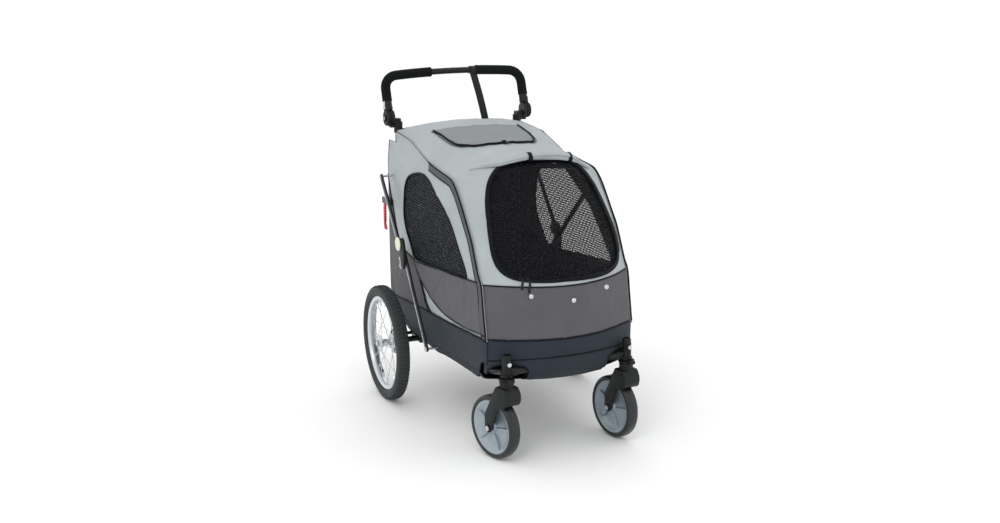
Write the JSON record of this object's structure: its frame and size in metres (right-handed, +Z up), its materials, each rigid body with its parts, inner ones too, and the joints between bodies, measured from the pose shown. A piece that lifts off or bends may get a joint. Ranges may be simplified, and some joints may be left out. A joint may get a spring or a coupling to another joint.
{
  "type": "pet stroller",
  "caption": "Folding four-wheel pet stroller: fabric cabin with mesh windows on a tube frame, swivel front casters, spoked rear wheels, tilting padded handle and side braces.",
  "frame": {"origin": "on the ground, under the middle of the overall box", "axes": "+Z up, front of the stroller towards -Y, the walker's left towards +X"},
  "size_m": [0.778, 1.0058, 1.118],
  "materials": {
    "black_paint": "satin powder coat",
    "bright_steel": "zinc plated",
    "silver_alloy": "anodised",
    "black_rubber": "matte",
    "black_plastic": "moulded grain",
    "black_foam": "closed-cell foam",
    "light_grey_fabric": "woven polyester",
    "dark_grey_fabric": "woven polyester",
    "black_fabric": "coated polyester",
    "black_mesh": "knitted mesh",
    "black_webbing": "woven webbing",
    "red_plastic": "moulded",
    "board": "fibreboard",
    "cushion_fabric": "brushed polyester"
  },
  "bodies": {
    "base": {"axle_tube": "black_paint", "axle_pins": "bright_steel", "side_rails": "black_paint", "front_cross_tube": "black_paint", "axle_brackets": "black_paint", "pivot_brackets": "black_paint", "frame_pins": "bright_steel", "floor_board": "board", "cushion": "cushion_fabric", "tub": "black_fabric", "right_side_panel": "light_grey_fabric", "left_side_panel": "light_grey_fabric", "front_panel": "dark_grey_fabric", "canopy": "light_grey_fabric", "rear_panel": "dark_grey_fabric", "caster_sockets": "black_plastic", "caster_stems": "black_paint", "tether_ring": "bright_steel"},
    "push_frame": {"uprights": "black_paint", "rear_arch": "black_paint", "frame_cross_tube": "black_paint", "hinge_bases": "black_plastic", "brace_bolts": "bright_steel", "lever_brackets": "black_plastic"},
    "handle": {"handle_tube": "black_paint", "grips": "black_foam", "hinge_caps": "black_plastic", "handle_strap": "black_webbing"},
    "hood_hoop": {"hood_hoop": "black_paint"},
    "brake_bar": {"brake_bar": "black_paint"},
    "front_door": {"front_door": "black_mesh"},
    "roof_hatch": {"roof_hatch": "light_grey_fabric"},
    "right_hinge_button": {"right_hinge_button": "black_plastic"},
    "right_snap_button": {"right_snap_button": "bright_steel"},
    "right_swivel_lock": {"right_swivel_lock": "black_plastic"},
    "right_fold_lever": {"right_fold_lever": "red_plastic"},
    "right_brace_lower": {"right_brace_lower": "black_paint"},
    "right_brace_upper": {"right_brace_upper": "black_paint"},
    "right_caster": {"right_fork": "black_plastic", "right_caster_bolt": "bright_steel"},
    "right_front_wheel": {"right_front_tyre": "black_rubber", "right_front_rim": "silver_alloy"},
    "right_rear_wheel": {"right_rear_tyre": "black_rubber", "right_rear_rim": "silver_alloy", "right_rear_hub": "silver_alloy", "right_rear_spokes": "bright_steel"},
    "left_hinge_button": {"left_hinge_button": "black_plastic"},
    "left_snap_button": {"left_snap_button": "bright_steel"},
    "left_swivel_lock": {"left_swivel_lock": "black_plastic"},
    "left_fold_lever": {"left_fold_lever": "red_plastic"},
    "left_brace_lower": {"left_brace_lower": "black_paint"},
    "left_brace_upper": {"left_brace_upper": "black_paint"},
    "left_caster": {"left_fork": "black_plastic", "left_caster_bolt": "bright_steel"},
    "left_front_wheel": {"left_front_tyre": "black_rubber", "left_front_rim": "silver_alloy"},
    "left_rear_wheel": {"left_rear_tyre": "black_rubber", "left_rear_rim": "silver_alloy", "left_rear_hub": "silver_alloy", "left_rear_spokes": "bright_steel"}
  },
  "joints": [
    {"name": "frame_fold", "type": "hinge", "parent": "base", "child": "push_frame", "pos_m": [0, 0.43, 0.3], "axis": [1, 0, 0], "range_deg": [0, 75], "deforming": ["right_side_panel", "left_side_panel", "front_panel", "canopy", "rear_panel", "front_door", "roof_hatch"]},
    {"name": "handle_tilt", "type": "hinge", "parent": "push_frame", "child": "handle", "pos_m": [0, 0.4206, 0.9535], "axis": [1, 0, 0], "range_deg": [-35, 15], "deforming": ["handle_strap"]},
    {"name": "hood_fold", "type": "hinge", "parent": "base", "child": "hood_hoop", "pos_m": [0, 0.314, 0.292], "axis": [1, 0, 0], "range_deg": [0, 36]},
    {"name": "brake", "type": "hinge", "parent": "base", "child": "brake_bar", "pos_m": [0, 0.295, 0.204], "axis": [1, 0, 0], "range_deg": [-7.5, 0]},
    {"name": "front_door_open", "type": "hinge", "parent": "base", "child": "front_door", "pos_m": [0, -0.236, 0.876], "axis": [1, 0, 0], "range_deg": [-70, 0]},
    {"name": "roof_hatch_open", "type": "hinge", "parent": "base", "child": "roof_hatch", "pos_m": [0, 0.2615, 0.926], "axis": [1, 0, 0], "range_deg": [-75, 0]},
    {"name": "right_hinge_button_press", "type": "slide", "parent": "handle", "child": "right_hinge_button", "axis": [1, 0, 0], "range_m": [0, 0.005], "stiffness_N_per_m": 800},
    {"name": "right_brace_lower_fold", "type": "hinge", "parent": "base", "child": "right_brace_lower", "pos_m": [-0.288, 0.01, 0.234], "axis": [1, 0, 0], "range_deg": [0, 79.5]},
    {"name": "right_brace_upper_fold", "type": "hinge", "parent": "push_frame", "child": "right_brace_upper", "pos_m": [-0.298, 0.411, 0.751], "axis": [1, 0, 0], "range_deg": [-149.4, 0]},
    {"name": "right_fold_lever_pull", "type": "hinge", "parent": "push_frame", "child": "right_fold_lever", "pos_m": [-0.261, 0.491, 0.652], "axis": [1, 0, 0], "range_deg": [0, 30], "stiffness_Nm_per_rad": 2},
    {"name": "right_snap_button_press", "type": "slide", "parent": "base", "child": "right_snap_button", "axis": [0, 1, 0], "range_m": [0, 0.004], "stiffness_N_per_m": 600},
    {"name": "right_swivel_lock_drop", "type": "slide", "parent": "base", "child": "right_swivel_lock", "axis": [0, 0, -1], "range_m": [0, 0.008]},
    {"name": "right_caster_swivel", "type": "hinge", "parent": "base", "child": "right_caster", "pos_m": [-0.206, -0.456, 0.26], "axis": [0, 0, 1], "continuous": true},
    {"name": "right_front_wheel_spin", "type": "hinge", "parent": "right_caster", "child": "right_front_wheel", "pos_m": [-0.22088, -0.40409, 0.101], "axis": [0.9613, 0.2756, 0], "continuous": true},
    {"name": "right_rear_wheel_spin", "type": "hinge", "parent": "base", "child": "right_rear_wheel", "pos_m": [-0.356, 0.237, 0.2], "axis": [1, 0, 0], "continuous": true},
    {"name": "left_hinge_button_press", "type": "slide", "parent": "handle", "child": "left_hinge_button", "axis": [-1, 0, 0], "range_m": [0, 0.005], "stiffness_N_per_m": 800},
    {"name": "left_brace_lower_fold", "type": "hinge", "parent": "base", "child": "left_brace_lower", "pos_m": [0.288, 0.01, 0.234], "axis": [1, 0, 0], "range_deg": [0, 79.5]},
    {"name": "left_brace_upper_fold", "type": "hinge", "parent": "push_frame", "child": "left_brace_upper", "pos_m": [0.298, 0.411, 0.751], "axis": [1, 0, 0], "range_deg": [-149.4, 0]},
    {"name": "left_fold_lever_pull", "type": "hinge", "parent": "push_frame", "child": "left_fold_lever", "pos_m": [0.261, 0.491, 0.652], "axis": [1, 0, 0], "range_deg": [0, 30], "stiffness_Nm_per_rad": 2},
    {"name": "left_snap_button_press", "type": "slide", "parent": "base", "child": "left_snap_button", "axis": [0, 1, 0], "range_m": [0, 0.004], "stiffness_N_per_m": 600},
    {"name": "left_swivel_lock_drop", "type": "slide", "parent": "base", "child": "left_swivel_lock", "axis": [0, 0, -1], "range_m": [0, 0.008]},
    {"name": "left_caster_swivel", "type": "hinge", "parent": "base", "child": "left_caster", "pos_m": [0.206, -0.456, 0.26], "axis": [0, 0, 1], "continuous": true},
    {"name": "left_front_wheel_spin", "type": "hinge", "parent": "left_caster", "child": "left_front_wheel", "pos_m": [0.19802, -0.40259, 0.101], "axis": [0.989, 0.1478, 0], "continuous": true},
    {"name": "left_rear_wheel_spin", "type": "hinge", "parent": "base", "child": "left_rear_wheel", "pos_m": [0.356, 0.237, 0.2], "axis": [1, 0, 0], "continuous": true}
  ],
  "couplings": [
    {"joint": "hood_fold", "follows": "frame_fold", "ratio": 0.48},
    {"joint": "right_brace_lower_fold", "follows": "frame_fold", "ratio": 1.06},
    {"joint": "right_brace_upper_fold", "follows": "frame_fold", "ratio": -1.99},
    {"joint": "left_brace_lower_fold", "follows": "frame_fold", "ratio": 1.06},
    {"joint": "left_brace_upper_fold", "follows": "frame_fold", "ratio": -1.99}
  ]
}
